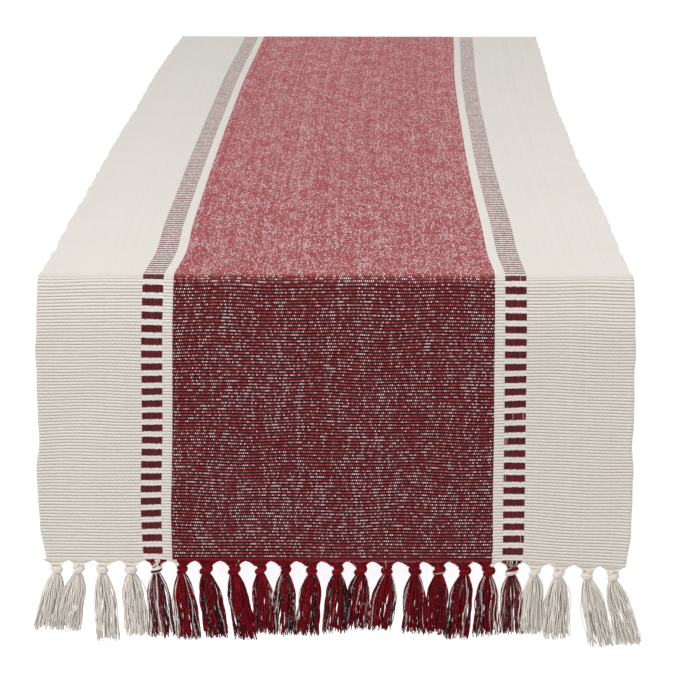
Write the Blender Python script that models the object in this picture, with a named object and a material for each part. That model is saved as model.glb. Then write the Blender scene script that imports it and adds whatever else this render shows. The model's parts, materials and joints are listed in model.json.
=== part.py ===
"""A striped cotton table runner with a knotted fringe, as it lies on a table with both ends hanging.

The row frame: the origin is the middle of the cloth's underside, where it lies on the table, +X runs
across the runner, +Y along it and +Z up. The end at -Y is the front end. The two ends are alike, so
the back end is the front end turned half a turn about +Z.

The web is woven in lengthwise bands: a cream border, a dashed stripe and a narrow cream stripe on
each side of a red field. The flat length and the bends at the table's two edges lie still. Each
hanging drop folds up about an axis at its bend, and each tassel swings about the last weft pick, from
which its warp ends hang.
"""

import math

import bmesh
import bpy
from mathutils import Vector

# Driving dimensions, in metres.
RUNNER_LENGTH = 1.8288  # along the cloth, from fringe tip to fringe tip
RUNNER_WIDTH = 0.3556
HEM_DROP = 0.175  # from the table's surface down to the hem
CORNER_DROOP = 0.003  # how much lower the hem's right corner hangs, across the right border
FRINGE_LENGTH = 0.046
CLOTH_THICKNESS = 0.0015
BEND_RADIUS = 0.006  # of the cloth's inner face, where it turns over the table's edge

BORDER_WIDTH = 0.063
DASH_STRIPE_WIDTH = 0.0126
PLAIN_STRIPE_WIDTH = 0.006

# One tassel: the gathered warp ends fan in to a knot, then hang as a skirt.
FAN_WIDTH = 0.011
FAN_DEPTH = 0.0022
FAN_THICKNESS = 0.0032
KNOT_WIDTH = 0.007
KNOT_THICKNESS = 0.0062
KNOT_HEIGHT = 0.005
NECK_WIDTH = 0.0052
SKIRT_WIDTH = 0.0125
SKIRT_THICKNESS = 0.006
LOOP_RADIUS = 0.0008  # of the warp ends' turn about the last pick

# Clearances between pieces that touch on the real cloth.
BAND_GAP = 0.0003
FOLD_GAP = 0.0005
HEM_GAP = 0.0003
SKIRT_GAP = 0.0004

# Facets.
BEND_FACETS = 8
TASSEL_SIDES = 8

# How each front tassel was tied, from the left: its knot's shift along the hem and its skirt's extra
# length, in millimetres, and its skirt's lean to the right, in degrees.
KNOT_SHIFT_MM = (0.5, -2, -2.5, -0.5, -0.5, -0.5, -1, 0.5, 1.5, 1, 2, 2,
                 0.5, 1.5, 3, 2, 2, 1, 0, -1.5, -2.5, 0, -0.5)
SKIRT_EXTRA_MM = (-2.5, -2, 4, 0.5, 1.5, 2.5, 1.5, 2.5, -1, 0, 0, -1.5,
                  -4, -3.5, -2, -1, 1.5, 0, -1.5, -2, 0.5, 4, 2.5)
SKIRT_LEAN_DEG = (-12, -11, 4, 5, 5, 6, 9, 12, 2, -2, -5, -3,
                  -6, -9, 0, -5, -7, -2, 0, -3, -2, 12, 15)
CREAM_TASSELS = (1, 2, 3, 4, 20, 21, 22, 23)
MIXED_TASSELS = (5, 19)

# Derived places.
TASSEL_COUNT = len(KNOT_SHIFT_MM)
TASSEL_PITCH = RUNNER_WIDTH / TASSEL_COUNT
FIELD_WIDTH = RUNNER_WIDTH - 2 * (BORDER_WIDTH + DASH_STRIPE_WIDTH + PLAIN_STRIPE_WIDTH)
NEUTRAL_RADIUS = BEND_RADIUS + CLOTH_THICKNESS / 2
BEND_LENGTH = math.pi / 2 * NEUTRAL_RADIUS
DROP_STRAIGHT = HEM_DROP - BEND_RADIUS
FLAT_HALF = RUNNER_LENGTH / 2 - FRINGE_LENGTH - DROP_STRAIGHT - BEND_LENGTH
DROP_INNER_Y = FLAT_HALF + BEND_RADIUS
DROP_MIDDLE_Y = FLAT_HALF + NEUTRAL_RADIUS
# The cloth keeps its length as a drop folds up to the table's level when the axis is this far
# outwards and upwards of the bend's centre.
FOLD_AXIS_OFFSET = math.pi / 4 * NEUTRAL_RADIUS
FOLD_AXIS_Y = FLAT_HALF + FOLD_AXIS_OFFSET
FOLD_AXIS_Z = -BEND_RADIUS + FOLD_AXIS_OFFSET

ENDS = {"front": -1, "back": 1}

# Yarn finishes: colour and roughness.
FINISHES = {
    "cream_cotton": ((0.84, 0.79, 0.73), 0.9),
    "striped_cotton": ((0.62, 0.36, 0.36), 0.9),
    "red_cotton": ((0.36, 0.075, 0.085), 0.9),
    "cream_fringe": ((0.82, 0.78, 0.71), 0.85),
    "mixed_fringe": ((0.45, 0.25, 0.23), 0.85),
    "red_fringe": ((0.27, 0.05, 0.06), 0.85),
}


def clear_scene():
    for old in list(bpy.data.objects):
        bpy.data.objects.remove(old, do_unlink=True)


def yarn(name):
    """The cotton finish of that name, made once."""
    made = bpy.data.materials.get(name)
    if made:
        return made
    colour, roughness = FINISHES[name]
    made = bpy.data.materials.new(name)
    made.use_nodes = True
    shader = made.node_tree.nodes["Principled BSDF"]
    shader.inputs["Base Color"].default_value = (*colour, 1)
    shader.inputs["Roughness"].default_value = roughness
    shader.inputs["Metallic"].default_value = 0
    return made


def add_piece(name, rings, finish, origin=Vector(), parent=None):
    """A closed piece lofted through equal rings of points, with its origin on its axis."""
    form = bmesh.new()
    loops = [[form.verts.new(point - origin) for point in ring] for ring in rings]
    for ring, following in zip(loops, loops[1:]):
        count = len(ring)
        for side in range(count):
            after = (side + 1) % count
            form.faces.new((ring[side], ring[after], following[after], following[side]))
    form.faces.new(reversed(loops[0]))
    form.faces.new(loops[-1])
    bmesh.ops.recalc_face_normals(form, faces=form.faces)
    mesh = bpy.data.meshes.new(name)
    form.to_mesh(mesh)
    form.free()
    mesh.shade_smooth()
    mesh.set_sharp_from_angle(angle=math.radians(35))
    mesh.materials.append(yarn(finish))
    piece = bpy.data.objects.new(name, mesh)
    bpy.context.scene.collection.objects.link(piece)
    piece.location = origin
    if parent:
        piece.parent = parent
        piece.location = origin - parent.location
    return piece


def add_axis(name, place):
    """An empty on a joint's axis, which the moving pieces are parented to."""
    axis = bpy.data.objects.new(name, None)
    axis.empty_display_type = "ARROWS"
    axis.empty_display_size = 0.02
    axis.location = place
    bpy.context.scene.collection.objects.link(axis)
    return axis


def band_edges():
    """The edges of the five woven bands, from left to right, with a half gap off each inner edge."""
    stripe = DASH_STRIPE_WIDTH + PLAIN_STRIPE_WIDTH
    x = -RUNNER_WIDTH / 2
    bands = []
    for name, width in (("left_border", BORDER_WIDTH), ("left_stripe", stripe), ("field", FIELD_WIDTH),
                        ("right_stripe", stripe), ("right_border", BORDER_WIDTH)):
        left = x + (BAND_GAP / 2 if bands else 0)
        x += width
        right = x - (BAND_GAP / 2 if name != "right_border" else 0)
        bands.append((name, left, right))
    return bands


def hem_level(x):
    """The front hem's height at x: level, then drooping across the right border to the corner."""
    past = x - (RUNNER_WIDTH / 2 - BORDER_WIDTH)
    return -HEM_DROP - CORNER_DROOP * min(max(past / BORDER_WIDTH, 0), 1)


def top_outline():
    """The side outline of the flat length with its two end bends: (y, z) points, once round."""
    outer = BEND_RADIUS + CLOTH_THICKNESS
    turn = [math.pi / 2 * step / BEND_FACETS for step in range(BEND_FACETS + 1)]
    back_outer = [(FLAT_HALF + outer * math.sin(a), outer * math.cos(a)) for a in turn]
    back_inner = [(FLAT_HALF + BEND_RADIUS * math.sin(a), BEND_RADIUS * math.cos(a)) for a in turn]
    half = back_outer + back_inner[::-1]
    other = [(-y, z) for y, z in reversed(half)]
    return [(y, z - BEND_RADIUS) for y, z in half + other]


def add_top():
    """The flat length in three widths: the two borders, and the stripes and field between them."""
    bands = band_edges()
    widths = {
        "top_left_border": (bands[0][1], bands[0][2], "cream_cotton"),
        "top_centre": (bands[1][1], bands[3][2], "red_cotton"),
        "top_right_border": (bands[4][1], bands[4][2], "cream_cotton"),
    }
    outline = top_outline()
    for name, (left, right, finish) in widths.items():
        rings = [[Vector((x, y, z)) for y, z in outline] for x in (left, right)]
        add_piece(name, rings, finish)


def add_drop(end, side, axis):
    """One hanging end, in five bands, from just under its bend down to the hem."""
    near = side * DROP_INNER_Y
    far = side * (DROP_INNER_Y + CLOTH_THICKNESS)
    top = -BEND_RADIUS - FOLD_GAP
    for band, left, right in band_edges():
        finish = {"border": "cream_cotton", "stripe": "striped_cotton"}.get(band.split("_")[-1], "red_cotton")
        rings = []
        for x in (left, right):
            hem = hem_level(-side * x)
            rings.append([Vector((x, y, z)) for y, z in ((near, top), (far, top), (far, hem), (near, hem))])
        add_piece(f"{end}_{band}", rings, finish, axis.location.copy(), axis)


def skirt_tip(number):
    """How far right of the middle a front tassel's tip is, and how far below its axis."""
    hem_x = (number + 0.5) * TASSEL_PITCH - RUNNER_WIDTH / 2
    knot_x = hem_x + KNOT_SHIFT_MM[number] / 1000
    drop = FRINGE_LENGTH + SKIRT_EXTRA_MM[number] / 1000 - HEM_GAP - LOOP_RADIUS
    skirt = drop - FAN_DEPTH - KNOT_HEIGHT
    return hem_x, knot_x, knot_x + skirt * math.tan(math.radians(SKIRT_LEAN_DEG[number])), drop


def room_beside(number, towards):
    """Half a skirt's width at its tip on one side: its full half width, or half the way to its neighbour."""
    tip = skirt_tip(number)[2]
    half = SKIRT_WIDTH / 2
    if 0 <= number + towards < TASSEL_COUNT:
        half = min(half, (abs(skirt_tip(number + towards)[2] - tip) - SKIRT_GAP) / 2)
    return half


def tassel_rings(number):
    """A front tassel's rings, about its own axis at z = 0: a half-round top, then fan, knot and skirt."""
    hem_x, knot_x, tip_x, drop = skirt_tip(number)
    neck = FAN_DEPTH + KNOT_HEIGHT
    middle = (neck + drop) / 2
    left, right = room_beside(number, -1), room_beside(number, 1)
    shoulder = 0.85  # a skirt is nearly its full width by its middle
    fan = FAN_WIDTH / 2
    stations = [
        (hem_x, LOOP_RADIUS * 0.95, fan, fan, LOOP_RADIUS * 0.3),
        (hem_x, LOOP_RADIUS * 0.7, fan, fan, LOOP_RADIUS * 0.7),
        (hem_x, 0, fan, fan, LOOP_RADIUS),
        (knot_x, -FAN_DEPTH, KNOT_WIDTH * 0.4, KNOT_WIDTH * 0.4, FAN_THICKNESS / 2),
        (knot_x, -FAN_DEPTH - KNOT_HEIGHT / 2, KNOT_WIDTH / 2, KNOT_WIDTH / 2, KNOT_THICKNESS / 2),
        (knot_x, -neck, NECK_WIDTH / 2, NECK_WIDTH / 2, NECK_WIDTH * 0.45),
        ((knot_x + tip_x) / 2, -middle, shoulder * left, shoulder * right, SKIRT_THICKNESS * 0.45),
        (tip_x, -drop, left, right, SKIRT_THICKNESS / 2),
    ]
    rings = []
    for x, z, half_left, half_right, half_thick in stations:
        ring = []
        for step in range(TASSEL_SIDES):
            angle = 2 * math.pi * (step + 0.5) / TASSEL_SIDES
            reach = math.cos(angle) / math.cos(math.pi / TASSEL_SIDES)
            depth = math.sin(angle) / math.cos(math.pi / TASSEL_SIDES)
            ring.append(Vector((x + reach * (half_right if reach > 0 else half_left), depth * half_thick, z)))
        rings.append(ring)
    return hem_x, rings


def add_fringe(end, side, axis):
    """The tassels of one end. The back end's are the front end's, turned half a turn about +Z."""
    for number in range(TASSEL_COUNT):
        hem_x, rings = tassel_rings(number)
        axis_z = hem_level(hem_x + FAN_WIDTH / 2) - HEM_GAP - LOOP_RADIUS
        place = Vector((-side * hem_x, side * DROP_MIDDLE_Y, axis_z))
        base = Vector((0, side * DROP_MIDDLE_Y, axis_z))
        turned = [[base + Vector((-side * p.x, -side * p.y, p.z)) for p in ring] for ring in rings]
        label = number + 1
        finish = "red_fringe"
        if label in CREAM_TASSELS:
            finish = "cream_fringe"
        elif label in MIXED_TASSELS:
            finish = "mixed_fringe"
        shown = label if side < 0 else TASSEL_COUNT + 1 - label
        add_piece(f"{end}_tassel_{shown:02d}", turned, finish, place, axis)


clear_scene()
add_top()
for end_name, end_side in ENDS.items():
    fold_axis = add_axis(f"{end_name}_fold_axis", Vector((0, end_side * FOLD_AXIS_Y, FOLD_AXIS_Z)))
    add_drop(end_name, end_side, fold_axis)
    add_fringe(end_name, end_side, fold_axis)
bpy.context.view_layer.update()
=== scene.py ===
"""The striped rep-weave table runner on a pale plinth: ribbed cloth, selvedges, hem and knotted fringe.

Lengths are in metres in the CAD frame. The cloth is made flat, as (x, s) with s the distance along it
from the middle of the table, and then laid over the table's edge. Both halves are made as a front half,
and the back one is then turned half a turn about +Z.
"""

import json
import math

import bpy
import numpy as np
from mathutils import Matrix, Vector

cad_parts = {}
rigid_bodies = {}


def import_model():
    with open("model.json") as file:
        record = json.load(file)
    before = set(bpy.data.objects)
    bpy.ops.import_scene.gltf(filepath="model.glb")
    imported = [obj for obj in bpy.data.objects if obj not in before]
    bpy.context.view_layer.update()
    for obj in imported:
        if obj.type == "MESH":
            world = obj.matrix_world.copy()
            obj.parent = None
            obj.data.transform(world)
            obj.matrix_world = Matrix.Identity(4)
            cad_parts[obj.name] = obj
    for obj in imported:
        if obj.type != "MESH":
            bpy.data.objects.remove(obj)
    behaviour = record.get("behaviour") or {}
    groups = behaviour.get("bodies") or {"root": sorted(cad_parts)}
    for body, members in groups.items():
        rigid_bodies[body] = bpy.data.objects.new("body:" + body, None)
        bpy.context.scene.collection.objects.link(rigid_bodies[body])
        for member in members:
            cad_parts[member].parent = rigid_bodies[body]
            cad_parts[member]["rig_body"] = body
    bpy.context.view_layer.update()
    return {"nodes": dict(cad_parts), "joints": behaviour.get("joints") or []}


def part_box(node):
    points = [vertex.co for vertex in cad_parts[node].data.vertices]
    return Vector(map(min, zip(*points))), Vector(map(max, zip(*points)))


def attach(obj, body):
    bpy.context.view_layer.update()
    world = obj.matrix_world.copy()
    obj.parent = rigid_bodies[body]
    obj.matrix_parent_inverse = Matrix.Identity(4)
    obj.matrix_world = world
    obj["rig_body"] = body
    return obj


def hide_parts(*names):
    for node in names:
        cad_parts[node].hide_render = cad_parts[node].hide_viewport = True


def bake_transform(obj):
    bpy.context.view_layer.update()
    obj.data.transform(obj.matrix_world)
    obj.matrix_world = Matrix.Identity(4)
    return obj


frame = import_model()


# Places read from the frame.
TOP_LOW, TOP_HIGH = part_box("top_centre")
FIELD_LOW, FIELD_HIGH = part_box("front_field")
STRIPE_LOW, STRIPE_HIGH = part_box("front_right_stripe")
BORDER_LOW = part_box("front_right_border")[0]
THICKNESS = TOP_HIGH.z
BEND_RADIUS = -TOP_LOW.z
NEUTRAL = BEND_RADIUS + THICKNESS / 2
FLAT_HALF = TOP_HIGH.y - BEND_RADIUS - THICKNESS
BEND_LENGTH = math.pi / 2 * NEUTRAL
HEM_DROP = -FIELD_LOW.z
HALF_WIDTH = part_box("top_right_border")[1].x
FIELD_EDGE = (FIELD_HIGH.x + STRIPE_LOW.x) / 2
BORDER_EDGE = (STRIPE_HIGH.x + BORDER_LOW.x) / 2
CORNER_DROOP = -HEM_DROP - BORDER_LOW.z
CLOTH_HALF = FLAT_HALF + BEND_LENGTH + HEM_DROP - BEND_RADIUS

# The weave.
PLAIN_STRIPE = 0.006
DASH_EDGE = FIELD_EDGE + PLAIN_STRIPE
RIB_PITCH = 0.00193
RIBS = round(CLOTH_HALF / RIB_PITCH)
RIB = CLOTH_HALF / RIBS
END_PITCH = 0.0012
GROOVE = 0.00055
RIB_ROWS = ((0.0, 0.0), (0.2, 0.82), (0.5, 1.0), (0.8, 0.82))  # (share of a rib's width, share of its height)
DASH_RIBS = 4  # in one dark and one pale dash
DASH_FROM = 0.44  # where the dark dash starts, as a share of the two
FLOAT_LOW = 0.00025  # how much lower the dark floats lie
HAIR = 1e-6  # for comparing places across the cloth

# How the cloth lies. It isn't quite straight: these are how far its left edge, the field's two edges and its
# right edge wander to +X, in mm, at places along the cloth from the middle of the table to the hem, in mm.
FRONT_LAY = (
    (0, -2.9, -3.0, -6.7, -5.5),
    (235, -1.9, -2.1, -6.1, -5.0),
    (380, -0.5, -1.1, -4.8, -2.0),
    (508, -0.3, 0.0, -3.0, -0.8),
    (623, 1.2, 2.1, -2.0, -0.6),
    (689, 0.3, -0.1, 0.3, 1.0),
    (715, -0.9, -0.7, 0.3, 2.5),
    (745, -1.9, -1.1, 0.2, 3.0),
    (790, -0.9, -1.7, 0.4, 2.3),
    (815, -2.8, -2.4, 0.2, 3.1),
    (840, -1.7, -3.1, 0.2, 2.6),
    (858, 0.3, -2.8, 0.4, 1.0),
    (868, 2.0, -2.6, 0.0, -0.2),
)
BACK_LAY = (
    (0, -2.9, -3.0, -6.7, -5.5),
    (114, -2.4, -3.1, -6.9, -6.3),
    (329, -3.9, -3.0, -6.2, -4.1),
    (576, -1.9, -0.6, -2.7, -1.0),
    (689, -0.6, 0.0, -1.0, 0.0),
    (745, -2.2, -0.8, 0.8, 2.6),
    (800, -1.8, -1.6, 1.2, 2.2),
    (850, -1.2, -1.8, 1.6, 2.0),
    (868, 0.5, -1.0, 1.0, -0.5),
)
# The cloth is stiff: it leans out by this much below the bend, and comes back to the plinth at the hem.
BELLY = 0.006
BELLY_RUN = 0.034  # along the cloth, from the bend to its full lean
RIPPLE = 0.0011  # of the borders, off the table
RIPPLE_FROM = 0.11  # from the middle line, across
HAND_WAVE = 0.0003  # of each rib, along the cloth
SELVEDGE = 0.012
SELVEDGE_WAVE = 0.0003
STRAIGHT_END = 0.02  # over which the waves die out, at the hem and at the middle of the table

# The fringe. Heights are from a tassel's axis, at the last pick.
TASSELS = 23
TASSEL_PITCH = 2 * HALF_WIDTH / TASSELS
FAN_ENDS = 24
FAN_YARN = 0.00033
ROPE_YARNS = 14
ROPE_YARN = 0.00044
SKIRT_YARNS = 84
SKIRT_YARN = 0.00035
KNOT_TOP = -0.0024
ROPE_TOP = -0.0023
ROPE_FALL = 0.0045  # from its first turn to its last
SKIRT_TOP = -0.0066
rng = np.random.default_rng(12)


# ---------------------------------------------------------------- camera, light and stage

def add_camera():
    """A long lens a little above the table, looking along the runner from its front end."""
    data = bpy.data.cameras.new("camera")
    data.lens = 175.7
    data.sensor_width = 36
    data.clip_end = 50
    camera = bpy.data.objects.new("camera", data)
    bpy.context.scene.collection.objects.link(camera)
    camera.location = (0.036, TOP_LOW.y - 1.959, 0.348)
    camera.rotation_euler = (math.radians(90 - 11.14), 0, math.radians(0.95))
    bpy.context.scene.camera = camera


def add_area_light(name, place, target, size, power):
    data = bpy.data.lights.new(name, "AREA")
    data.shape = "RECTANGLE"
    data.size, data.size_y = size
    data.energy = power
    light = bpy.data.objects.new(name, data)
    bpy.context.scene.collection.objects.link(light)
    light.location = place
    direction = Vector(target) - Vector(place)
    light.rotation_euler = direction.to_track_quat("-Z", "Y").to_euler()
    return light


def add_surroundings():
    """A white room: plain white where it is seen, softer where it lights the cloth."""
    scene = bpy.context.scene
    scene.view_settings.view_transform = "Standard"
    world = bpy.data.worlds.new("white_room")
    scene.world = world
    world.use_nodes = True
    nodes, links = world.node_tree.nodes, world.node_tree.links
    nodes.clear()
    path = nodes.new("ShaderNodeLightPath")
    mix = nodes.new("ShaderNodeMixShader")
    out = nodes.new("ShaderNodeOutputWorld")
    links.new(path.outputs["Is Camera Ray"], mix.inputs["Fac"])
    lighting, seen = 0.42, 1.05
    for strength, socket in ((lighting, mix.inputs[1]), (seen, mix.inputs[2])):
        white = nodes.new("ShaderNodeBackground")
        white.inputs["Color"].default_value = (1, 1, 1, 1)
        white.inputs["Strength"].default_value = strength
        links.new(white.outputs["Background"], socket)
    links.new(mix.outputs["Shader"], out.inputs["Surface"])
    add_area_light("front_softbox", (-1.7, -2.5, 1.5), (0, -0.6, 0), (1.5, 1.0), 49)
    add_area_light("top_softbox", (1.9, -0.9, 1.5), (0, -0.5, 0), (1.5, 1.5), 25)
    add_area_light("back_fill", (0.5, 2.7, 1.5), (0, 0.6, 0), (1.6, 1.0), 18)


FLOOR = -0.42


def stage_material():
    """A pale matt paint, which glows a little where the camera sees it, to stay as white as the room."""
    pale = bpy.data.materials.new("pale_stage")
    pale.use_nodes = True
    shader = pale.node_tree.nodes["Principled BSDF"]
    shader.inputs["Base Color"].default_value = (0.8, 0.8, 0.8, 1)
    shader.inputs["Roughness"].default_value = 0.8
    shader.inputs["Emission Color"].default_value = (1, 1, 1, 1)
    w = Wiring(pale.node_tree)
    path = pale.node_tree.nodes.new("ShaderNodeLightPath")
    w.feed(shader.inputs["Emission Strength"], w.math("MULTIPLY", path.outputs["Is Camera Ray"], 0.68))
    return pale


def plinth_outline():
    """(y, z) round the plinth, seen from the side. Below its rounded edges it tapers in behind the fringe."""
    clearance = 0.0004
    corner = BEND_RADIUS - clearance
    turn = [math.pi / 2 * step / 6 for step in range(7)]
    side = [(FLAT_HALF + corner * math.sin(a), -BEND_RADIUS + corner * math.cos(a)) for a in turn]
    # The fringe can swing in under the table's edge, so the plinth is set back there.
    foot = FLAT_HALF - 0.052
    side += [(FLAT_HALF + corner, -0.11), (foot, -HEM_DROP + 0.004), (foot, FLOOR)]
    return side + [(-y, z) for y, z in reversed(side)]


def add_stage():
    """The pale plinth that the runner lies on, and a pale floor."""
    pale = stage_material()
    outline = plinth_outline()
    half = 0.45
    points = [(x, y, z) for x in (-half, half) for y, z in outline]
    count = len(outline)
    faces = [(i, (i + 1) % count, count + (i + 1) % count, count + i) for i in range(count)]
    faces += [tuple(reversed(range(count))), tuple(range(count, 2 * count))]
    plinth_mesh = bpy.data.meshes.new("plinth")
    plinth_mesh.from_pydata(points, [], faces)
    plinth_mesh.shade_smooth()
    plinth_mesh.set_sharp_from_angle(angle=math.radians(30))
    reach = 6
    corners = [(x * reach, y * reach, FLOOR) for x, y in ((-1, -1), (1, -1), (1, 1), (-1, 1))]
    floor_mesh = bpy.data.meshes.new("floor")
    floor_mesh.from_pydata(corners, [], [(0, 1, 2, 3)])
    for mesh in (plinth_mesh, floor_mesh):
        mesh.materials.append(pale)
        piece = bpy.data.objects.new(mesh.name, mesh)
        bpy.context.scene.collection.objects.link(piece)


# ---------------------------------------------------------------- shader groups

def new_group(name, inputs, outputs):
    """An empty shader group with named sockets: {name: default} in, {name: kind} out."""
    group = bpy.data.node_groups.new(name, "ShaderNodeTree")
    for label, default in inputs.items():
        kind = "NodeSocketColor" if isinstance(default, tuple) else "NodeSocketFloat"
        socket = group.interface.new_socket(label, in_out="INPUT", socket_type=kind)
        socket.default_value = default
    for label, kind in outputs.items():
        group.interface.new_socket(label, in_out="OUTPUT", socket_type=f"NodeSocket{kind}")
    return group, group.nodes.new("NodeGroupInput"), group.nodes.new("NodeGroupOutput")


class Wiring:
    """Short names for adding nodes to one tree and linking them."""

    def __init__(self, tree):
        self.tree = tree

    def feed(self, socket, value):
        if isinstance(value, bpy.types.NodeSocket):
            self.tree.links.new(value, socket)
        elif value is not None:
            socket.default_value = value

    def math(self, operation, first, second=None, third=None):
        node = self.tree.nodes.new("ShaderNodeMath")
        node.operation = operation
        for socket, value in zip(node.inputs, (first, second, third)):
            self.feed(socket, value)
        return node.outputs[0]

    def mix(self, factor, first, second, blend="MIX"):
        node = self.tree.nodes.new("ShaderNodeMix")
        node.data_type = "RGBA"
        node.blend_type = blend
        self.feed(node.inputs[0], factor)
        self.feed(node.inputs[6], first)
        self.feed(node.inputs[7], second)
        return node.outputs[2]

    def painted_shade(self, factor, tint, colour):
        """The colour where factor is 1, and the colour times the tint where it is 0: painted shade."""
        return self.mix(factor, self.mix(1.0, colour, tint, "MULTIPLY"), colour)

    def combine(self, x, y, z=0.0):
        node = self.tree.nodes.new("ShaderNodeCombineXYZ")
        for socket, value in zip(node.inputs, (x, y, z)):
            self.feed(socket, value)
        return node.outputs[0]

    def separate(self, vector):
        node = self.tree.nodes.new("ShaderNodeSeparateXYZ")
        self.feed(node.inputs[0], vector)
        return node.outputs[0], node.outputs[1]

    def uv(self, name):
        node = self.tree.nodes.new("ShaderNodeUVMap")
        node.uv_map = name
        return node.outputs[0]

    def white(self, vector):
        """An even random number for each whole-number cell."""
        node = self.tree.nodes.new("ShaderNodeTexWhiteNoise")
        node.noise_dimensions = "3D"
        self.feed(node.inputs["Vector"], vector)
        return node.outputs["Value"]

    def noise(self, vector, scale, detail=2.0):
        node = self.tree.nodes.new("ShaderNodeTexNoise")
        self.feed(node.inputs["Vector"], vector)
        node.inputs["Scale"].default_value = scale
        node.inputs["Detail"].default_value = detail
        return node.outputs["Fac"]

    def span(self, value, low, high, to_low=0.0, to_high=1.0):
        node = self.tree.nodes.new("ShaderNodeMapRange")
        for socket, item in zip(node.inputs, (value, low, high, to_low, to_high)):
            self.feed(socket, item)
        return node.outputs[0]

    def group(self, tree, **values):
        node = self.tree.nodes.new("ShaderNodeGroup")
        node.node_tree = tree
        for label, value in values.items():
            self.feed(node.inputs[label.replace("_", " ")], value)
        return node.outputs

    def bump(self, height, strength, distance):
        node = self.tree.nodes.new("ShaderNodeBump")
        node.inputs["Strength"].default_value = strength
        node.inputs["Distance"].default_value = distance
        self.feed(node.inputs["Height"], height)
        return node.outputs["Normal"]


def weave_group():
    """The warp-faced weave. Its map counts warp ends across and ribs along the cloth."""
    group, given, out = new_group("rep_weave", {"Lean": 1.3}, {
        "Crest": "Float", "Bead": "Float", "End": "Float", "Pick": "Float",
        "Grain": "Float", "Patch": "Float", "Height": "Float"})
    w = Wiring(group)
    across, along = w.separate(w.uv("weave"))
    rib = w.math("FLOOR", along)
    # The ends show on every other rib, so the next rib is half an end over.
    turn = w.math("FLOORED_MODULO", rib, 2.0)
    shifted = w.math("MULTIPLY_ADD", turn, 0.5, across)
    end = w.math("FLOOR", shifted)
    # The painted shade of a gap lies a little to one side of it, as if the ribs leaned towards the hem: each
    # rib is painted lighter on its side towards the front hem and darker on the other.
    lean = w.math("POWER", w.math("FRACT", along), given.outputs["Lean"])
    crest = w.math("SINE", w.math("MULTIPLY", lean, math.pi))
    bead = w.math("SINE", w.math("MULTIPLY", w.math("FRACT", shifted), math.pi))
    end_noise = w.white(w.combine(end, turn, 3.0))
    pick_noise = w.white(w.combine(end, rib, 7.0))
    # A slub shows on one end for a few ribs.
    slub = w.math("FLOOR", w.math("MULTIPLY_ADD", end_noise, 3.0, w.math("MULTIPLY", rib, 0.34)))
    grain = w.white(w.combine(end, slub, w.math("ADD", turn, 11.0)))
    wide = w.combine(w.math("MULTIPLY", across, 0.1), w.math("MULTIPLY", along, 0.045), 9.0)
    patch = w.noise(wide, 1.0, 3.0)
    height = w.math("MULTIPLY", w.math("MULTIPLY_ADD", bead, 0.6, 0.4), crest)
    for label, value in (("Crest", crest), ("Bead", bead), ("End", end_noise), ("Pick", pick_noise),
                         ("Grain", grain), ("Patch", patch), ("Height", height)):
        w.feed(out.inputs[label], value)
    return group


def twist_group():
    """A plied cotton yarn: a helical twist along it, with its map's length in millimetres."""
    group, given, out = new_group("plied_yarn", {"Turns": 0.8}, {
        "Ply": "Float", "Fleck": "Float", "Tone": "Float"})
    w = Wiring(group)
    around, along = w.separate(w.uv("yarn"))
    helix = w.math("ADD", w.math("MULTIPLY", along, given.outputs["Turns"]), w.math("MULTIPLY", around, 2.0))
    ply = w.math("ABSOLUTE", w.math("SINE", w.math("MULTIPLY", helix, math.pi)))
    fleck = w.noise(w.combine(w.math("MULTIPLY", around, 1.5), w.math("MULTIPLY", along, 0.6)), 1.0, 1.0)
    tone = w.noise(w.combine(0.0, w.math("MULTIPLY", along, 0.05), 5.0), 1.0, 1.0)
    for label, value in (("Ply", ply), ("Fleck", fleck), ("Tone", tone)):
        w.feed(out.inputs[label], value)
    return group


def cotton(name, sheen, tint, sheen_roughness):
    """A new matt cotton material, its shader and its wiring."""
    made = bpy.data.materials.new(name)
    made.use_nodes = True
    shader = made.node_tree.nodes["Principled BSDF"]
    shader.inputs["Specular IOR Level"].default_value = 0.03
    shader.inputs["Sheen Weight"].default_value = sheen
    shader.inputs["Sheen Roughness"].default_value = sheen_roughness
    shader.inputs["Sheen Tint"].default_value = (*tint, 1)
    return made, shader, Wiring(made.node_tree)


def finish_cloth(w, shader, weave, colour, gap_shade, gap_width):
    """Paint shade into the colour of the gaps between ribs, and raise the ends."""
    crown = w.span(weave["Crest"], w.math("MULTIPLY", gap_width, 0.3), gap_width)
    w.feed(shader.inputs["Base Color"], w.painted_shade(crown, gap_shade, colour))
    w.feed(shader.inputs["Roughness"], w.span(weave["Crest"], 0.0, 1.0, 0.98, 0.86))
    w.feed(shader.inputs["Normal"], w.bump(weave["Height"], 0.6, 0.0003))


CREAM = (0.79, 0.745, 0.685, 1)
CREAM_LIGHT = (0.85, 0.81, 0.755, 1)
RED = (0.15, 0.010, 0.016, 1)
# Where the red ends show on the crests they are painted lighter than RED, a painted highlight; in the ground
# between they are darker, partly random tone and partly painted shade.
RED_CREST_HIGHLIGHT = (0.40, 0.030, 0.040, 1)
RED_SHADE = (0.055, 0.004, 0.006, 1)
BURGUNDY = (0.055, 0.003, 0.006, 1)
ROSE = (0.54, 0.22, 0.21, 1)
PALE = (0.95, 0.88, 0.86, 1)
DULL_PINK = (0.42, 0.25, 0.26, 1)

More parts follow.
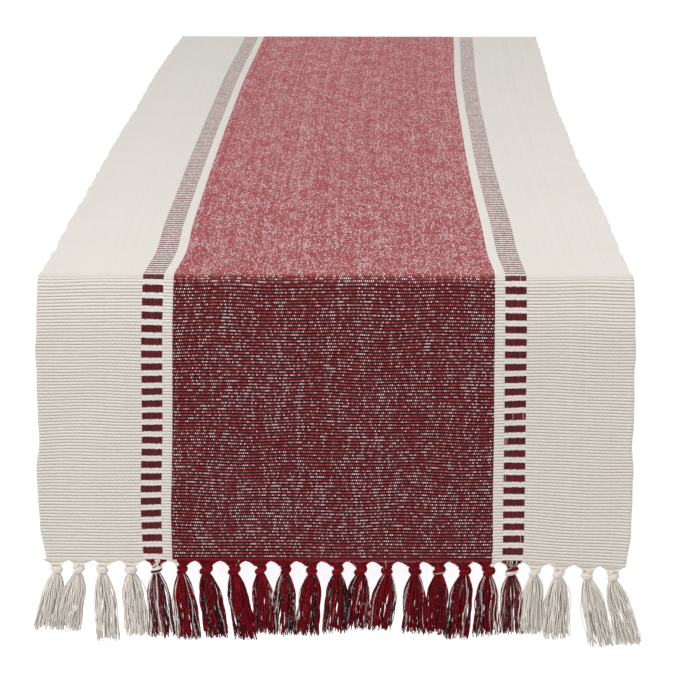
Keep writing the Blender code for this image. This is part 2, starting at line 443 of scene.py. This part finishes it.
# Each yarn of the fringe: its two tones, its flecks' colour, and the noise that the flecks start from.
YARNS = {
    "cream": ((0.80, 0.735, 0.65, 1), (0.88, 0.83, 0.76, 1), (0.93, 0.9, 0.85, 1), 0.6),
    "red": ((0.12, 0.004, 0.009, 1), (0.34, 0.011, 0.02, 1), (0.06, 0.004, 0.008, 1), 0.58),
    "burgundy": ((0.12, 0.012, 0.02, 1), (0.2, 0.02, 0.03, 1), (0.5, 0.35, 0.33, 1), 0.66),
    "black": ((0.012, 0.010, 0.012, 1), (0.03, 0.014, 0.018, 1), (0.4, 0.36, 0.35, 1), 0.66),
    "pale": ((0.50, 0.44, 0.42, 1), (0.66, 0.6, 0.57, 1), (0.2, 0.03, 0.04, 1), 0.6),
}
KIND = {name: number for number, name in enumerate(YARNS)}


def cream_cloth(weave_tree):
    """Cream ribs, with the ends a little uneven in tone, and painted shade between the ends and in the gaps
    between ribs.
    """
    made, shader, w = cotton("cream_rep", 0.12, (0.3, 0.7, 1), 0.5)
    weave = w.group(weave_tree)
    tone = w.math("MULTIPLY_ADD", weave["End"], 0.5, w.math("MULTIPLY", weave["Pick"], 0.5))
    colour = w.mix(tone, CREAM, CREAM_LIGHT)
    # Painted shade between the warp ends.
    end_crown = w.span(weave["Bead"], 0.0, 0.7, 0.72, 1.0)
    colour = w.painted_shade(end_crown, (0.5, 0.46, 0.42, 1), colour)
    # How wide the painted shade in the gaps between ribs is: at random per pick, and narrower over each end.
    width = w.math("MULTIPLY_ADD", weave["Bead"], -0.35, w.math("MULTIPLY_ADD", weave["Pick"], 0.25, 0.65))
    finish_cloth(w, shader, weave, colour, (0.68, 0.63, 0.57, 1), width)
    return made


def dash_cloth():
    """Cream ribs with burgundy floats over every other two, thread by thread, and painted shade near the
    dashes' ends and between threads.
    """
    made, shader, w = cotton("dashed_rep", 0.5, (1, 0.6, 0.62), 0.5)
    shader.inputs["Specular IOR Level"].default_value = 0.1
    across, along = w.separate(w.uv("weave"))
    threads = w.math("MULTIPLY", across, 2.4)
    thread = w.math("FLOOR", threads)
    # Each thread's float starts and stops a little early or late.
    pair = w.math("FLOOR", w.math("MULTIPLY", along, 2 / DASH_RIBS))
    slack = w.span(w.white(w.combine(thread, pair, 5.0)), 0.0, 1.0, -0.14, 0.14)
    counted = w.math("ADD", w.math("ADD", along, slack), float(-RIBS - DASH_RIBS // 2))
    step = w.math("FRACT", w.math("MULTIPLY", counted, 1 / DASH_RIBS))
    dark = w.math("GREATER_THAN", step, DASH_FROM)
    dash = w.math("FLOOR", w.math("MULTIPLY", along, 1 / DASH_RIBS))
    tone = w.white(w.combine(thread, dash, dark))
    red = w.mix(tone, BURGUNDY, RED)
    red = w.mix(w.math("GREATER_THAN", tone, 0.992), red, DULL_PINK)
    colour = w.mix(dark, w.mix(tone, CREAM, CREAM_LIGHT), red)
    # Painted shade every two ribs, near where the dashes start and stop, and between the threads.
    half_step = w.math("FRACT", w.math("MULTIPLY", step, 2.0))
    crest = w.math("POWER", w.math("SINE", w.math("MULTIPLY", half_step, math.pi)), 0.3)
    bead = w.math("SINE", w.math("MULTIPLY", w.math("FRACT", threads), math.pi))
    crown = w.math("MULTIPLY", w.span(crest, 0.1, 0.85, 0.2, 1.0), w.span(bead, 0.0, 0.7, 0.82, 1.0))
    w.feed(shader.inputs["Base Color"], w.painted_shade(crown, (0.4, 0.36, 0.34, 1), colour))
    w.feed(shader.inputs["Roughness"], w.span(crest, 0.0, 1.0, 0.9, 0.6))
    w.feed(shader.inputs["Normal"], w.bump(w.math("MULTIPLY", crest, bead), 0.5, 0.0003))
    return made


def red_cloth(weave_tree):
    """Deep red ribs with a paler grain of pink, grey and white ends on each, and a plain red hem. The crests
    are painted lighter and the gaps between ribs painted darker, as painted highlight and shade.
    """
    made, shader, w = cotton("red_rep", 0.85, (1, 0.38, 0.42), 0.5)
    weave = w.group(weave_tree, Lean=1.95)
    blend = w.math("MULTIPLY_ADD", weave["End"], 0.15, w.math("MULTIPLY", weave["Pick"], 0.45))
    blend = w.math("MULTIPLY_ADD", weave["Grain"], 0.4, blend)
    blend = w.math("ADD", blend, w.span(weave["Patch"], 0.35, 0.65, -0.07, 0.07))
    # The ground between the crests is darker red, varying at random per pick: partly the yarns' own tone,
    # partly painted shade.
    ground = w.mix(w.math("MULTIPLY", weave["Pick"], 0.5), RED_SHADE, RED)
    grain = w.mix(w.span(blend, 0.35, 0.6), RED_CREST_HIGHLIGHT, ROSE)
    grain = w.mix(w.span(blend, 0.58, 0.74), grain, PALE)
    # The grain shows only on the crests, most on each rib's side towards the front hem. This is partly the
    # weave's own grain of pale ends and partly a painted highlight, which makes the table top, seen low from
    # the front, look lighter than the drop.
    shown = w.span(w.math("MULTIPLY", weave["Bead"], weave["Crest"]), 0.4, 0.75)
    colour = w.mix(shown, ground, grain)
    along = w.separate(w.uv("weave"))[1]
    hem = w.math("GREATER_THAN", w.math("ABSOLUTE", along), float(RIBS) - 0.8)
    # How wide the dark painted shade in the gaps between ribs is, narrower over each end.
    width = w.math("MULTIPLY_ADD", weave["Bead"], -0.3, 0.72)
    finish_cloth(w, shader, weave, w.mix(hem, colour, RED), (0.10, 0.05, 0.05, 1), width)
    return made


def yarn_material(name, twist_tree, low, high, fleck, fleck_from):
    """A plied yarn: two tones along it, flecks of another colour where the noise is high, and painted shade
    between its plies.
    """
    made, shader, w = cotton(f"{name}_yarn", 0.05, (1, 0.9, 0.88), 0.3)
    twist = w.group(twist_tree)
    colour = w.mix(w.span(twist["Tone"], 0.35, 0.65), low, high)
    colour = w.mix(w.math("GREATER_THAN", twist["Fleck"], fleck_from), colour, fleck)
    # Painted shade in the grooves between the plies.
    ply_crown = w.span(twist["Ply"], 0.0, 0.7, 0.55, 1.0)
    w.feed(shader.inputs["Base Color"], w.painted_shade(ply_crown, (0.45, 0.42, 0.4, 1), colour))
    w.feed(shader.inputs["Roughness"], w.span(twist["Ply"], 0.0, 1.0, 0.95, 0.8))
    w.feed(shader.inputs["Normal"], w.bump(twist["Ply"], 0.4, 0.0002))
    return made


# ---------------------------------------------------------------- the cloth's shape

# Smooth uneven waves, each a sum of a few sines: (size, length across, length along, phase).
HAND_SEEDS = ((1, 0.011, 0.043, 0.4), (0.7, 0.024, -0.019, 2.1), (0.5, 0.007, 0.013, 4.0))
EDGE_SEEDS = ((1, 9, 0.0061, 0.3), (0.8, 9, 0.0113, 1.9), (0.6, 9, 0.0037, 3.3))
RIPPLE_SEEDS = ((1, 0.09, 0.0105, 0.5), (0.8, 0.07, 0.0172, 2.6), (0.6, -0.11, 0.0069, 4.4))


def waves(x, s, seeds):
    """The height at (x, s) of the waves that the seeds give."""
    total = np.zeros(np.broadcast(x, s).shape)
    for size, x_length, s_length, phase in seeds:
        total = total + size * np.sin(x / x_length + s / s_length + phase)
    return total


def smooth_between(at, places, values):
    """Values between the given places, on smooth curves with no overshoot at the ends."""
    places, values = np.asarray(places, float), np.asarray(values, float)
    slope = np.gradient(values, places)
    span = np.clip(np.searchsorted(places, at) - 1, 0, len(places) - 2)
    width = places[span + 1] - places[span]
    t = np.clip((at - places[span]) / width, 0, 1)
    return ((1 + 2 * t) * (1 - t) ** 2 * values[span] + t * (1 - t) ** 2 * width * slope[span]
            + t * t * (3 - 2 * t) * values[span + 1] + t * t * (t - 1) * width * slope[span + 1])


def wander(x, s, end):
    """How far cloth at (x, s) lies to +X of straight."""
    table = np.array(FRONT_LAY if end == "front" else BACK_LAY) / 1000
    lines = [smooth_between(s, table[:, 0], table[:, k]) for k in (1, 2, 3, 4)]
    if end == "back":
        lines = [-line for line in reversed(lines)]
    left, field_left, field_right, right = lines
    middle = (x + FIELD_EDGE) / (2 * FIELD_EDGE)
    outer = (np.abs(x) - FIELD_EDGE) / (HALF_WIDTH - FIELD_EDGE)
    inside = field_left + (field_right - field_left) * middle
    on_left = field_left + (left - field_left) * outer
    on_right = field_right + (right - field_right) * outer
    return np.where(x < -FIELD_EDGE, on_left, np.where(x > FIELD_EDGE, on_right, inside))


def lay(x, s, off, end):
    """The place of cloth at (x, s), off the middle of its thickness, as for the front half."""
    x, s, off = np.broadcast_arrays(np.asarray(x, float), np.asarray(s, float), np.asarray(off, float))
    down = np.clip((s - FLAT_HALF - BEND_LENGTH) / (HEM_DROP - BEND_RADIUS), 0, 1)
    inside = np.clip(np.minimum(s, CLOTH_HALF - s) / STRAIGHT_END, 0, 1)
    edge = np.clip((np.abs(x) - RIPPLE_FROM) / (HALF_WIDTH - RIPPLE_FROM), 0, 1) ** 2
    selvedge = np.clip((np.abs(x) - HALF_WIDTH + SELVEDGE) / SELVEDGE, 0, 1)

    # In the cloth's own plane.
    along = s + HAND_WAVE * inside * waves(x, s, HAND_SEEDS)
    across = x + wander(x, s, end) + SELVEDGE_WAVE * selvedge * inside * np.sign(x) * waves(x, s, EDGE_SEEDS)

    # Out of that plane: the borders' ripple, nearly flat at the bend, and the drop's belly.
    lift = RIPPLE * edge * inside * np.clip(0.5 + 0.35 * waves(x, s, RIPPLE_SEEDS), 0, 2)
    lift = lift * np.clip(np.abs(s - FLAT_HALF - BEND_LENGTH / 2) / 0.05, 0.1, 1) * (1 - 0.5 * down)
    out = np.clip((s - FLAT_HALF - BEND_LENGTH * 0.3) / BELLY_RUN, 0, 1)
    lift = lift + BELLY * out * out * (3 - 2 * out) * np.cos(math.pi / 2 * down) ** 2

    # Round the bend and down.
    turn = np.clip((along - FLAT_HALF) / NEUTRAL, 0, math.pi / 2)
    radius = NEUTRAL + off + lift
    flat = np.minimum(along, FLAT_HALF)
    fall = np.maximum(along - FLAT_HALF - BEND_LENGTH, 0)
    y = -(flat + radius * np.sin(turn))
    right = np.clip((x - BORDER_EDGE) / (HALF_WIDTH - BORDER_EDGE), 0, 1)
    z = -BEND_RADIUS + radius * np.cos(turn) - fall - CORNER_DROOP * right * down
    return np.stack([across, y, z], axis=-1)


def rows_along():
    """(s, relief, rib coordinate) of each row of points on the ribbed face."""
    rows = [(rib + share, relief) for rib in range(RIBS) for share, relief in RIB_ROWS] + [(float(RIBS), 0.0)]
    counts = np.array([row[0] for row in rows])
    return counts * RIB, np.array([row[1] for row in rows]), counts


def dash_step(along):
    """How far through one pale and dark pair of dashes the cloth is at this rib coordinate, 0 to 1."""
    return (along - RIBS - DASH_RIBS // 2) / DASH_RIBS % 1


def columns_across(left, right):
    """x of each column of points: even inside, closer at a selvedge to round it."""
    steps = max(2, round((right - left) / 0.008))
    columns = list(np.linspace(left, right, steps + 1))
    inner = [edge for edge in (-DASH_EDGE, DASH_EDGE) if left < edge < right]
    if inner:
        lip = 0.0004
        outwards = [FIELD_EDGE, FIELD_EDGE + PLAIN_STRIPE / 2, DASH_EDGE, DASH_EDGE + lip,
                    (DASH_EDGE + BORDER_EDGE) / 2, BORDER_EDGE - lip, BORDER_EDGE]
        columns = outwards if left > 0 else [-place for place in reversed(outwards)]
    bead = (0.0, 0.0002, 0.0006, 0.0012, 0.0022)
    if left < -HALF_WIDTH + HAIR:
        columns = [left + b for b in bead] + columns[1:]
    if right > HALF_WIDTH - HAIR:
        columns = columns[:-1] + [right - b for b in reversed(bead)]
    return np.array(columns)


def band_points(x, s, relief, counts, dashed, end):
    """The points of a band's ribbed face, row by row, and of its under face, which has one row per rib."""
    from_edge = HALF_WIDTH - np.abs(x)
    round_off = np.sqrt(np.clip(1 - (1 - np.clip(from_edge / 0.0012, 0, 1)) ** 2, 0, 1))
    # The selvedge is a thicker cord, with the weft's loops round it.
    cord = 0.0003 * np.exp(-((from_edge - 0.0012) / 0.0009) ** 2)
    loop = 0.0009 * np.clip(1 - from_edge / 0.0022, 0, 1) * np.sign(x)
    half = (THICKNESS / 2 * round_off + cord)[None, :]
    off = half - GROOVE * (1 - relief)[:, None] * round_off[None, :]
    if dashed:
        # The burgundy floats lie a little lower than the cream ribs beside them.
        floats = dash_step(counts) > DASH_FROM
        inside = (np.abs(x) > DASH_EDGE + HAIR) & (np.abs(x) < BORDER_EDGE - HAIR)
        off = off - FLOAT_LOW * (relief * floats)[:, None] * inside[None, :]
    face = lay(x[None, :] + loop[None, :] * (relief[:, None] - 0.5), s[:, None], off, end)
    under_s = s[::len(RIB_ROWS)]
    under = lay(x[None, :], under_s[:, None], -(THICKNESS / 2 * round_off)[None, :], end)
    return np.concatenate([face.reshape(-1, 3), under.reshape(-1, 3)])


def band_faces(rows, cols):
    """The faces of a band: its ribbed face, its under face, its two ends, and its two sides, rib by rib."""
    per = len(RIB_ROWS)
    grid = np.arange(rows * cols).reshape(rows, cols)
    low = rows * cols + np.arange((RIBS + 1) * cols).reshape(RIBS + 1, cols)
    quads = [np.stack([grid[:-1, :-1], grid[1:, :-1], grid[1:, 1:], grid[:-1, 1:]], -1).reshape(-1, 4)]
    quads.append(np.stack([low[:-1, :-1], low[:-1, 1:], low[1:, 1:], low[1:, :-1]], -1).reshape(-1, 4))
    quads.append(np.stack([grid[0, :-1], grid[0, 1:], low[0, 1:], low[0, :-1]], -1))
    quads.append(np.stack([grid[-1, 1:], grid[-1, :-1], low[-1, :-1], low[-1, 1:]], -1))
    faces = [tuple(face) for face in np.concatenate(quads).tolist()]
    for rib in range(RIBS):
        wall = grid[rib * per:(rib + 1) * per + 1]
        faces.append((int(low[rib, 0]), int(low[rib + 1, 0]), *wall[::-1, 0].tolist()))
        faces.append((int(low[rib + 1, -1]), int(low[rib, -1]), *wall[:, -1].tolist()))
    return faces


def map_weave(mesh, x, counts):
    """Map the cloth in warp ends across and ribs along. Returns the x of each face corner."""
    rows, cols = len(counts), len(x)
    low_rows = counts[::len(RIB_ROWS)]
    ends = np.tile(x / END_PITCH, rows + len(low_rows))
    ribs = np.concatenate([np.repeat(counts, cols), np.repeat(low_rows, cols)])
    corner = np.empty(len(mesh.loops), np.int32)
    mesh.loops.foreach_get("vertex_index", corner)
    layer = mesh.uv_layers.new(name="weave")
    layer.data.foreach_set("uv", np.stack([ends[corner], ribs[corner]], -1).ravel().astype(np.float32))
    return ends[corner] * END_PITCH


def add_band(name, left, right, materials, end):
    """One woven band of half the runner. A second material is for its dashed part."""
    s, relief, counts = rows_along()
    x = columns_across(left, right)
    dashed = len(materials) > 1
    # Ribs and ends are counted one way over the whole cloth, so the back half's counts run down from 0.
    way = 1 if end == "front" else -1
    points = band_points(x, s, relief, counts * way, dashed, end)
    if end == "back":
        points = points * [-1, -1, 1]
    mesh = bpy.data.meshes.new(name)
    mesh.from_pydata(points.tolist(), [], band_faces(len(s), len(x)))
    corner_x = map_weave(mesh, x * way, counts * way)
    for material in materials:
        mesh.materials.append(material)
    if dashed:
        first = np.empty(len(mesh.polygons), np.int32)
        mesh.polygons.foreach_get("loop_start", first)
        middle = np.abs(corner_x[first] + corner_x[first + 2]) / 2
        mesh.polygons.foreach_set("material_index", (middle > DASH_EDGE - HAIR).astype(np.int32))
    mesh.shade_smooth()
    mesh.set_sharp_from_angle(angle=math.radians(80))
    piece = bpy.data.objects.new(name, mesh)
    bpy.context.scene.collection.objects.link(piece)
    return piece


# ---------------------------------------------------------------- yarns

class YarnBundle:
    """Round yarns gathered into one mesh, each with its own material number."""

    def __init__(self, name, sides=5):
        self.name, self.sides = name, sides
        self.points, self.faces, self.maps, self.kinds, self.count = [], [], [], [], 0

    def add(self, paths, radius, kinds):
        """paths is (yarns, points, 3). radius is one number, or one per point of each yarn."""
        paths = np.asarray(paths, float)
        yarns, steps, _ = paths.shape
        radius = np.broadcast_to(np.asarray(radius, float), (yarns, steps))
        tangent = np.gradient(paths, axis=1)
        tangent /= np.linalg.norm(tangent, axis=2, keepdims=True) + 1e-12
        normal = np.zeros_like(paths)
        guess = np.where(np.abs(tangent[:, 0, 1:2]) < 0.9, [[0.0, 1.0, 0.0]], [[1.0, 0.0, 0.0]])
        for step in range(steps):
            flat = guess - (guess * tangent[:, step]).sum(1, keepdims=True) * tangent[:, step]
            guess = flat / (np.linalg.norm(flat, axis=1, keepdims=True) + 1e-12)
            normal[:, step] = guess
        side = np.cross(tangent, normal)
        angle = 2 * math.pi * np.arange(self.sides) / self.sides
        ring = (normal[:, :, None] * np.cos(angle)[None, None, :, None]
                + side[:, :, None] * np.sin(angle)[None, None, :, None])
        points = paths[:, :, None] + ring * radius[:, :, None, None]
        steps_long = np.linalg.norm(np.diff(paths, axis=1), axis=2)
        length = np.concatenate([np.zeros((yarns, 1)), np.cumsum(steps_long, axis=1)], axis=1) * 1000
        # No two yarns show the same stretch of twist and flecks.
        length += (np.arange(yarns)[:, None] * 37.7 + self.count * 11.3) % 900
        at = self.count + np.arange(yarns * steps * self.sides).reshape(yarns, steps, self.sides)
        after = np.roll(at, -1, axis=2)
        quads = np.stack([at[:, :-1], after[:, :-1], after[:, 1:], at[:, 1:]], -1)
        u = np.arange(self.sides) / self.sides
        u_quads = np.stack([u, u + 1 / self.sides, u + 1 / self.sides, u], -1)
        u_quads = np.broadcast_to(u_quads, quads.shape)
        v_quads = np.stack([length[:, :-1], length[:, :-1], length[:, 1:], length[:, 1:]], -1)
        v_quads = np.broadcast_to(v_quads[:, :, None], quads.shape)
        self.points.append(points.reshape(-1, 3))
        self.faces.append((quads.reshape(-1, 4), at[:, 0, ::-1], at[:, -1]))
        self.maps.append((np.stack([u_quads, v_quads], -1).reshape(-1, 4, 2), length[:, 0], length[:, -1]))
        kinds = np.asarray(kinds)
        self.kinds.append((np.repeat(kinds, (steps - 1) * self.sides), kinds))
        self.count += yarns * steps * self.sides

    def build(self, materials):
        """The bundle as one object, its yarns closed at both ends."""
        faces, uvs, kinds = [], [], []
        for walls, maps, numbers in zip(self.faces, self.maps, self.kinds):
            quads, starts, stops = walls
            mapped, first, last = maps
            wall, cap = numbers
            faces += quads.tolist() + starts.tolist() + stops.tolist()
            uvs.append(mapped.reshape(-1, 2))
            for value in (first, last):
                uvs.append(np.repeat(np.stack([0 * value, value], -1), self.sides, axis=0))
            kinds += [wall, cap, cap]
        mesh = bpy.data.meshes.new(self.name)
        mesh.from_pydata(np.concatenate(self.points).tolist(), [], faces)
        mesh.uv_layers.new(name="yarn").data.foreach_set("uv", np.concatenate(uvs).ravel().astype(np.float32))
        mesh.polygons.foreach_set("material_index", np.concatenate(kinds).astype(np.int32))
        for material in materials:
            mesh.materials.append(material)
        mesh.shade_smooth()
        piece = bpy.data.objects.new(self.name, mesh)
        bpy.context.scene.collection.objects.link(piece)
        return piece


def end_kinds(x, across=None):
    """The yarn colour of the warp ends at x.

    A skirt gives its yarns' places across it too, and shows locks of dark and pale yarns among the red.
    """
    draw = rng.random(len(x))
    where = np.abs(x)
    kinds = np.full(len(x), KIND["cream"])
    dash = (where > DASH_EDGE) & (where < BORDER_EDGE)
    darker = np.where(draw < 0.52, KIND["burgundy"], np.where(draw < 0.62, KIND["black"], KIND["cream"]))
    kinds[dash] = darker[dash]
    field = where < FIELD_EDGE
    dark, pale = 0.03, 0.01
    if across is not None:
        locks = rng.uniform(0.5, 1.0, 2) * rng.choice((-1, 1), 2)
        near = np.exp(-(np.abs(across[:, None] - locks[None, :]) / 0.2) ** 2).max(axis=1)
        dark = 0.03 + 0.42 * near
        pale = 0.03 + 0.22 * near
    redder = np.where(draw < dark, KIND["black"], np.where(draw < dark + pale, KIND["pale"], KIND["red"]))
    kinds[field] = redder[field]
    return kinds


def tassel_rings(name, axis, turn):
    """(x, height, half width, half thickness) of the CAD tassel's four lowest rings, from its axis.

    It is given as a front tassel, whose outer side is towards -Y.
    """
    points = np.array([vertex.co for vertex in frame["nodes"][name].data.vertices], float)
    heights = np.round(points[:, 2], 5)
    rings = []
    for z in sorted(set(heights), reverse=True)[4:8]:
        ring = points[heights == z]
        low, high = ring[:, 0].min(), ring[:, 0].max()
        x = (low + high) / 2 * turn - axis.x * turn
        rings.append((x, z - axis.z, (high - low) / 2, np.ptp(ring[:, 1]) / 2))
    return rings


def fan_paths(source, knot_x):
    """The warp ends, each in a roll round the last pick and then down and in to the knot."""
    angles = np.radians(np.linspace(-100, 250, 12))
    share = np.linspace(0, 1, 8)[1:, None]
    paths = []
    for x in source:
        # The roll is fuller over the knot and thins out between tassels, under the cloth's last rib.
        full = math.cos(math.pi * x / TASSEL_PITCH) ** 0.7
        loop = 0.0003 + 0.0005 * full
        centre_z = 0.0011 - 0.0007 * full
        ring = np.stack([np.full(12, x), -loop * np.cos(angles), centre_z + loop * np.sin(angles)], -1)
        last = ring[-1]
        reach = x - knot_x
        turning = np.array([knot_x + reach * 0.62, last[1] - 0.0004, last[2] - 0.0007])
        gather = np.array([knot_x + reach * 0.42, -0.0012 * math.cos(reach / TASSEL_PITCH * 2), KNOT_TOP])
        run = (1 - share) ** 2 * last + 2 * share * (1 - share) * turning + share ** 2 * gather
        paths.append(np.concatenate([ring, run]))
    return paths


def knot_paths(knot_x, neck_x):
    """The overhand knot: a rope of yarns wound round the core."""
    share = np.linspace(0, 1, 24)
    hand = 1 if rng.random() < 0.5 else -1
    wind = 2 * math.pi * (1.4 * share + rng.uniform(-0.15, 0.15)) - math.pi / 2
    core_x = knot_x + (neck_x - knot_x) * share
    size = rng.uniform(0.92, 1.1)
    # It starts thin enough to clear the hem as the tassel swings up.
    stages = (0, 0.35, 0.7, 1)
    radius = np.interp(share, stages, (0.0009, 0.0021, 0.0023, 0.0013)) * size
    spread = (np.interp(share, stages, (0.0009, 0.0014, 0.0017, 0.0012)) * size)[:, None]
    tilt = rng.uniform(0.0002, 0.0006) * hand * np.minimum(share * 3, 1)
    centre = np.stack([core_x + hand * radius * np.cos(wind), radius * np.sin(wind) * 0.9,
                       ROPE_TOP - ROPE_FALL * share + tilt * np.cos(wind)], -1)
    tangent = np.gradient(centre, axis=0)
    tangent /= np.linalg.norm(tangent, axis=1, keepdims=True)
    outward = np.stack([np.cos(wind) * hand, np.sin(wind), 0 * wind], -1)
    upward = np.cross(tangent, outward)
    paths = []
    for k in range(ROPE_YARNS):
        angle = (2 * math.pi * k / ROPE_YARNS + 1.6 * share)[:, None]
        paths.append(centre + spread * (outward * np.cos(angle) + upward * np.sin(angle)))
    return paths


def sway(size, slow, fast, t):
    """A gentle wave along each of a skirt's yarns."""
    count = (SKIRT_YARNS, 1)
    return size * np.sin(t[None, :] * rng.uniform(slow, fast, count) + rng.uniform(0, 6.3, count))


def skirt_paths(order, knot, neck, middle, tip):
    """The loose yarns, running down out of the knot, and where each lies across the skirt, -1 to 1."""
    neck_half = 0.0017
    belly_at = 0.5
    middle_x, _, middle_half, middle_thick = middle
    tip_x, tip_z, tip_half, _ = tip
    across = np.clip(order + rng.normal(0, 0.12, SKIRT_YARNS), -1, 1)
    depth = rng.uniform(-1, 1, SKIRT_YARNS) * np.sqrt(1 - 0.8 * across ** 2)
    # The tips gather in a few clumps.
    clump = np.round(across * 4.5 + rng.uniform(-0.3, 0.3, SKIRT_YARNS)) / 4.5
    hold = rng.uniform(0.0, 0.6, SKIRT_YARNS)
    across_low = np.clip(across * (1 - hold) + clump * hold, -1, 1)
    t = np.linspace(0, 1, 12)
    length = (SKIRT_TOP - tip_z) * (1 + rng.uniform(-0.09, 0.05, SKIRT_YARNS))
    spine = np.interp(t, (0, belly_at, 1), (neck[0], middle_x, tip_x))
    open_out = 1 - (1 - np.clip(t / belly_at, 0, 1)) ** 2.3
    half = neck_half + (middle_half + 0.0014 - neck_half) * open_out
    half = half + (tip_half - 0.0002 - middle_half) * np.clip((t - belly_at) / (1 - belly_at), 0, 1) ** 1.5
    flat = neck_half + (middle_thick - 0.0021) * open_out
    mixed = across[:, None] * (1 - t) + across_low[:, None] * t
    x = spine[None, :] + mixed * half[None, :]
    # A few yarns stray out to the sides.
    stray = rng.choice(SKIRT_YARNS, 4, replace=False)
    x[stray] += (np.sign(across[stray])[:, None] * rng.uniform(0.0005, 0.0022, (4, 1))
                 * np.sin(math.pi * np.clip(t * 0.75, 0, 1))[None, :])
    x = x + sway(0.0006, 5, 12, t) * np.minimum(t * 3, 1)[None, :]
    y = depth[:, None] * flat[None, :] + sway(0.0003, 4, 9, t)
    z = SKIRT_TOP - t[None, :] * length[:, None]
    body = np.stack([x, y, z], -1)
    # The yarns run up inside the knot.
    top = body[:, :1].copy()
    top[:, :, 0] = knot[0] + across[:, None] * 0.0014
    top[:, :, 1] *= 0.7
    top[:, :, 2] = KNOT_TOP - 0.0006
    taper = np.concatenate([[1.0], 1 - 0.12 * t])
    return np.concatenate([top, body], axis=1), across, taper


def add_tassel(end, number, joint, materials):
    """One tassel: a roll and fan of warp ends, a wrapped knot and a loose skirt. Returns the three pieces.

    Everything is made as a front tassel about its axis, with -Y outwards, then turned for the back.
    """
    name = f"{end}_tassel_{number:02d}"
    turn = 1 if end == "front" else -1
    axis = Vector(joint["pos_m"])
    knot_ring, neck_ring, middle_ring, tip_ring = tassel_rings(name, axis, turn)
    knot_x, neck_x = knot_ring[0], neck_ring[0]
    hem_x = axis.x * turn

    fan = YarnBundle(f"{end}_fan_{number:02d}")
    source = (np.arange(FAN_ENDS) + 0.5) / FAN_ENDS * TASSEL_PITCH - TASSEL_PITCH / 2
    fan.add(fan_paths(source, knot_x), FAN_YARN, end_kinds(hem_x + source))

    knot = YarnBundle(f"{end}_knot_{number:02d}")
    rope = knot_paths(knot_x, neck_x)
    rope_x = np.full(ROPE_YARNS, hem_x) + rng.uniform(-0.25, 0.25, ROPE_YARNS) * TASSEL_PITCH
    knot.add(rope, ROPE_YARN, end_kinds(rope_x))

    skirt = YarnBundle(f"{end}_skirt_{number:02d}")
    order = (np.arange(SKIRT_YARNS) + 0.5) / SKIRT_YARNS * 2 - 1
    loose, across, taper = skirt_paths(order, knot_ring, neck_ring, middle_ring, tip_ring)
    share = np.clip(order * 0.6 + rng.normal(0, 0.2, SKIRT_YARNS), -1, 1)
    kinds = end_kinds(hem_x + share * TASSEL_PITCH * 0.4, across)
    skirt.add(loose, SKIRT_YARN * taper[None, :] * rng.uniform(0.85, 1.15, (SKIRT_YARNS, 1)), kinds)

    made = []
    for bundle in (fan, knot, skirt):
        piece = bundle.build(materials)
        half_turn = Matrix.Rotation(0 if end == "front" else math.pi, 4, "Z")
        piece.data.transform(Matrix.Translation(axis) @ half_turn)
        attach(piece, name)
        made.append(piece)
    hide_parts(name)
    return made


# ---------------------------------------------------------------- build

add_camera()
add_surroundings()
add_stage()

weave_tree = weave_group()
twist_tree = twist_group()
cream = cream_cloth(weave_tree)
dashed = dash_cloth()
red = red_cloth(weave_tree)
yarns = [yarn_material(name, twist_tree, *looks) for name, looks in YARNS.items()]
joints = {joint["child"]: joint for joint in frame["joints"]}

# The bands, from the left of their own half: (name, left edge, right edge, materials, slot).
BANDS = (
    ("left_border", -HALF_WIDTH, -BORDER_EDGE, (cream,), "cream_cotton"),
    ("left_stripe", -BORDER_EDGE, -FIELD_EDGE, (cream, dashed), "striped_cotton"),
    ("field", -FIELD_EDGE, FIELD_EDGE, (red,), "red_cotton"),
    ("right_stripe", FIELD_EDGE, BORDER_EDGE, (cream, dashed), "striped_cotton"),
    ("right_border", BORDER_EDGE, HALF_WIDTH, (cream,), "cream_cotton"),
)


def add_half(end):
    """Half the runner: its five bands, from the middle of the table to the hem, and its fringe."""
    for band, left, right, materials, slot in BANDS:
        piece = add_band(f"{end}_half_{band}", left, right, materials, end)
        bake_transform(piece)
    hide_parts(f"{end}_field")
    for hand, other in (("left", "right"), ("right", "left")):
        # The back half's own left is at +X.
        world = hand if end == "front" else other
        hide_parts(f"{end}_{world}_border")
        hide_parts(f"{end}_{world}_stripe")
    if end == "front":
        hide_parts("top_centre")
        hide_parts("top_left_border")
        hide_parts("top_right_border")
    fringe = []
    for number in range(1, TASSELS + 1):
        fringe += add_tassel(end, number, joints[f"{end}_tassel_{number:02d}"], yarns)


add_half("front")
add_half("back")
